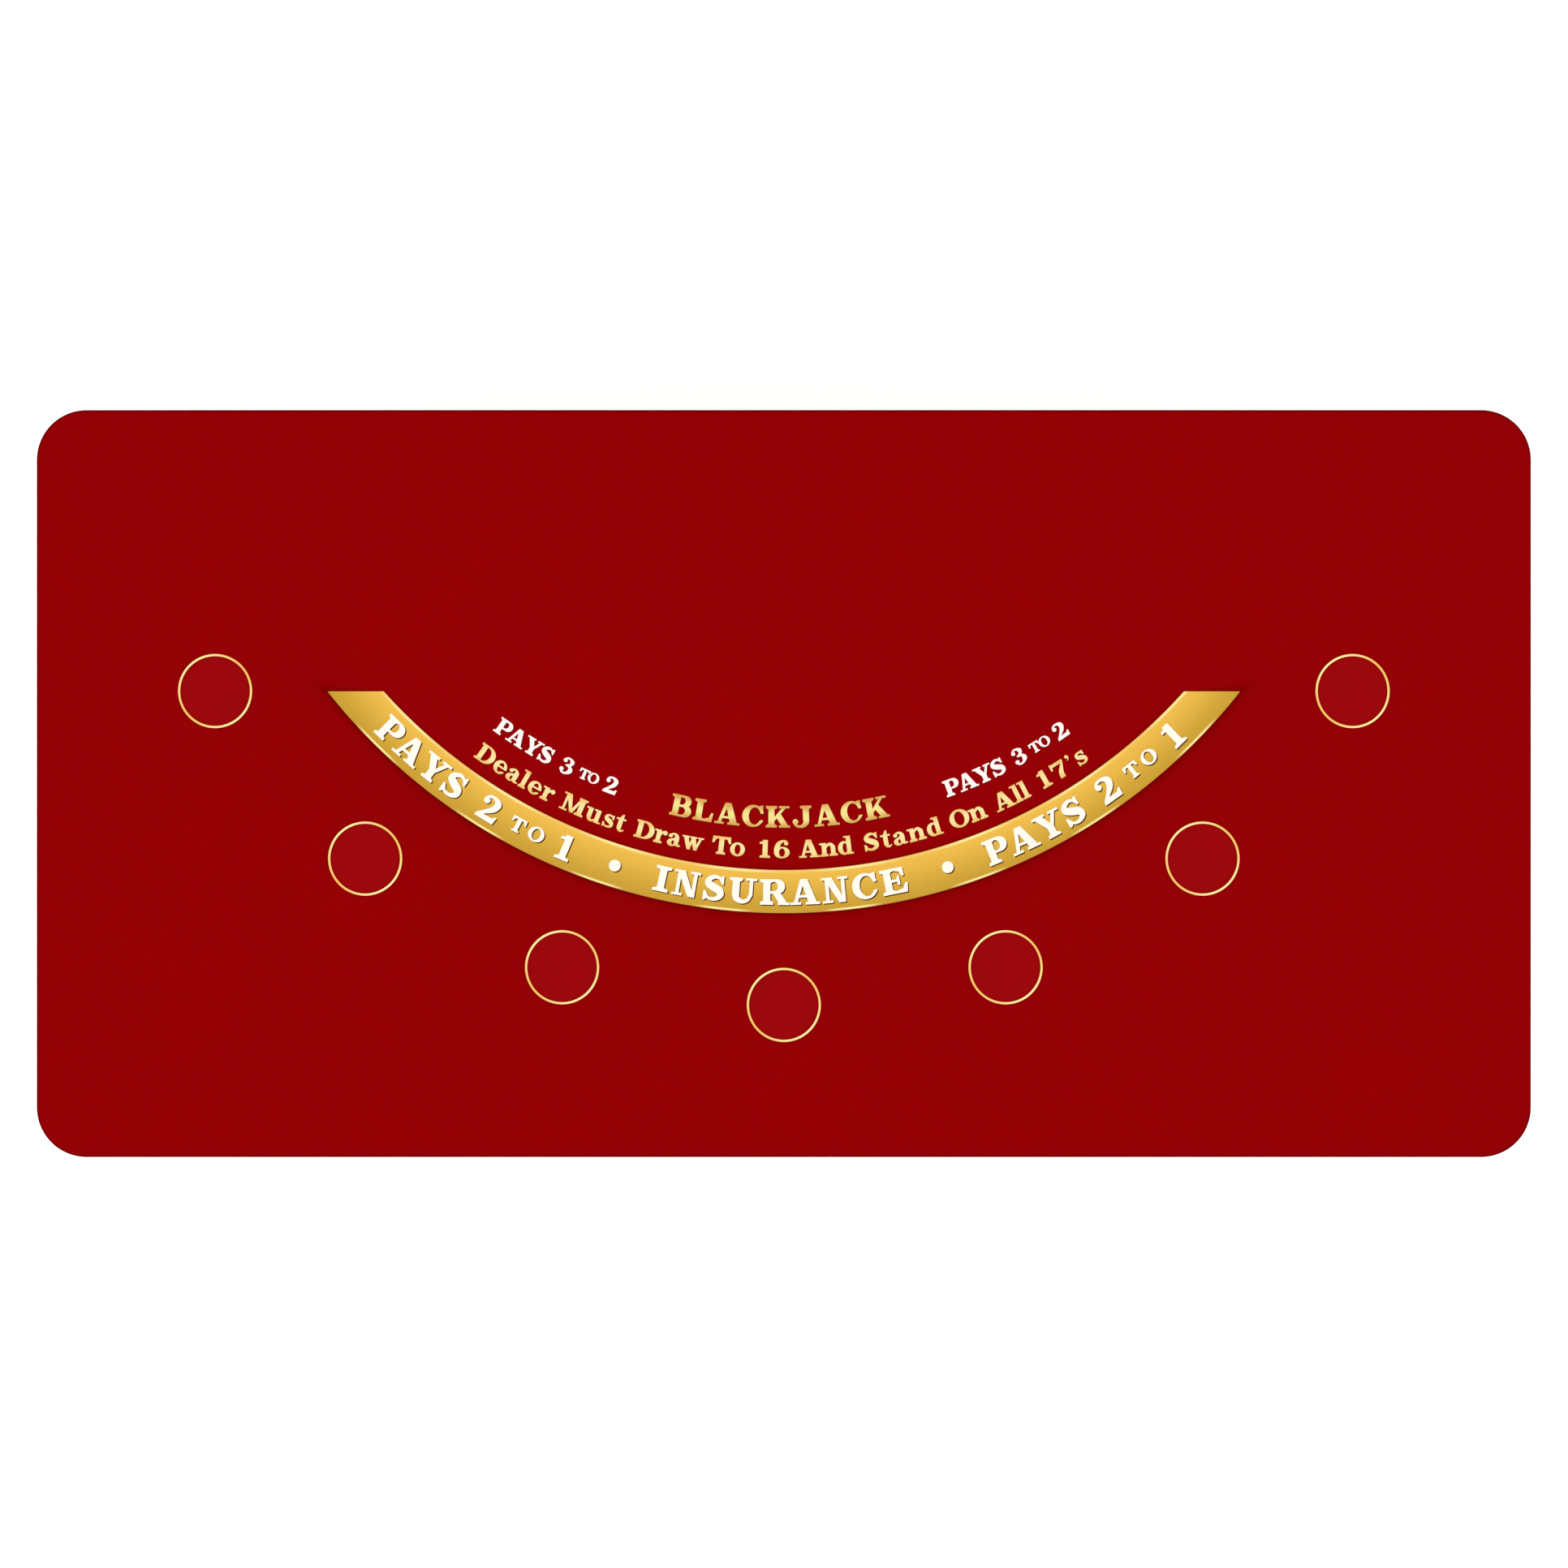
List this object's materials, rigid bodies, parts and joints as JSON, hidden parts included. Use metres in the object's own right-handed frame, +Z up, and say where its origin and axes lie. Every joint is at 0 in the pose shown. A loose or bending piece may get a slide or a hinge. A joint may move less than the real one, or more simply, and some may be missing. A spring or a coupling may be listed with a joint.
{
  "type": "blackjack table",
  "caption": "Portable blackjack table: a rounded rectangular padded top printed with an insurance arc and betting circles, on an apron frame with folding clamp-locked leg sets.",
  "frame": {"origin": "on the floor under the middle of the top", "axes": "+X along the table's length (to the dealer's left, the reader's right), +Y towards the dealer's side, +Z up"},
  "size_m": [1.8, 0.9, 0.76],
  "materials": {
    "layout_cloth": "deep red printed short-nap layout cloth",
    "foam": "soft dark foam, matt",
    "plywood": "clear sealed birch plywood",
    "gold_print": "gold ink printed in the cloth",
    "white_print": "white ink printed in the cloth, on the visual's lettering only",
    "shadow_print": "dark ink printed beside the lettering, on the visual only",
    "rail_wood": "dark stained satin hardwood",
    "pine": "planed softwood",
    "black_steel": "black powder coat, fine texture",
    "zinc_steel": "bright zinc plate",
    "nylon": "black nylon",
    "rubber": "moulded black rubber",
    "knob_plastic": "moulded black thermoplastic, semi-gloss",
    "brass": "turned brass"
  },
  "bodies": {
    "tabletop": {"layout_cloth": "layout_cloth", "foam_underlay": "foam", "top_board": "plywood", "insurance_band_print": "gold_print", "bet_circle_prints": "gold_print", "cloth_staples": "zinc_steel", "front_apron_rail": "rail_wood", "back_apron_rail": "rail_wood", "left_apron_rail": "rail_wood", "right_apron_rail": "rail_wood", "rail_screws": "zinc_steel", "corner_blocks": "pine", "cross_battens": "pine", "batten_screws": "zinc_steel", "left_front_bracket": "black_steel", "left_back_bracket": "black_steel", "right_front_bracket": "black_steel", "right_back_bracket": "black_steel", "bracket_screws": "zinc_steel", "pivot_bolts": "zinc_steel", "pivot_nuts": "zinc_steel", "pivot_spacers": "nylon"},
    "left_legs": {"left_front_leg": "black_steel", "left_back_leg": "black_steel", "left_upper_stretcher": "black_steel", "left_lower_stretcher": "black_steel", "left_leg_plugs": "nylon", "left_front_foot": "rubber", "left_back_foot": "rubber", "left_lock_bolts": "zinc_steel", "left_lock_washers": "zinc_steel"},
    "right_legs": {"right_front_leg": "black_steel", "right_back_leg": "black_steel", "right_upper_stretcher": "black_steel", "right_lower_stretcher": "black_steel", "right_leg_plugs": "nylon", "right_front_foot": "rubber", "right_back_foot": "rubber", "right_lock_bolts": "zinc_steel", "right_lock_washers": "zinc_steel"},
    "left_front_clamp_knob": {"left_front_knob": "knob_plastic", "left_front_knob_insert": "brass"},
    "left_back_clamp_knob": {"left_back_knob": "knob_plastic", "left_back_knob_insert": "brass"},
    "right_front_clamp_knob": {"right_front_knob": "knob_plastic", "right_front_knob_insert": "brass"},
    "right_back_clamp_knob": {"right_back_knob": "knob_plastic", "right_back_knob_insert": "brass"}
  },
  "joints": [
    {"name": "left_leg_fold", "type": "hinge", "parent": "tabletop", "child": "left_legs", "pos_m": [-0.735, 0, 0.702], "axis": [0, -1, 0], "range_deg": [0, 90]},
    {"name": "right_leg_fold", "type": "hinge", "parent": "tabletop", "child": "right_legs", "pos_m": [0.735, 0, 0.702], "axis": [0, 1, 0], "range_deg": [0, 90]},
    {"name": "left_front_knob_turn", "type": "hinge", "parent": "left_legs", "child": "left_front_clamp_knob", "pos_m": [-0.735, -0.3038, 0.642], "axis": [0, 1, 0], "range_deg": [0, 270]},
    {"name": "left_back_knob_turn", "type": "hinge", "parent": "left_legs", "child": "left_back_clamp_knob", "pos_m": [-0.735, 0.3038, 0.642], "axis": [0, -1, 0], "range_deg": [0, 270]},
    {"name": "right_front_knob_turn", "type": "hinge", "parent": "right_legs", "child": "right_front_clamp_knob", "pos_m": [0.735, -0.3038, 0.642], "axis": [0, 1, 0], "range_deg": [0, 270]},
    {"name": "right_back_knob_turn", "type": "hinge", "parent": "right_legs", "child": "right_back_clamp_knob", "pos_m": [0.735, 0.3038, 0.642], "axis": [0, -1, 0], "range_deg": [0, 270]}
  ]
}
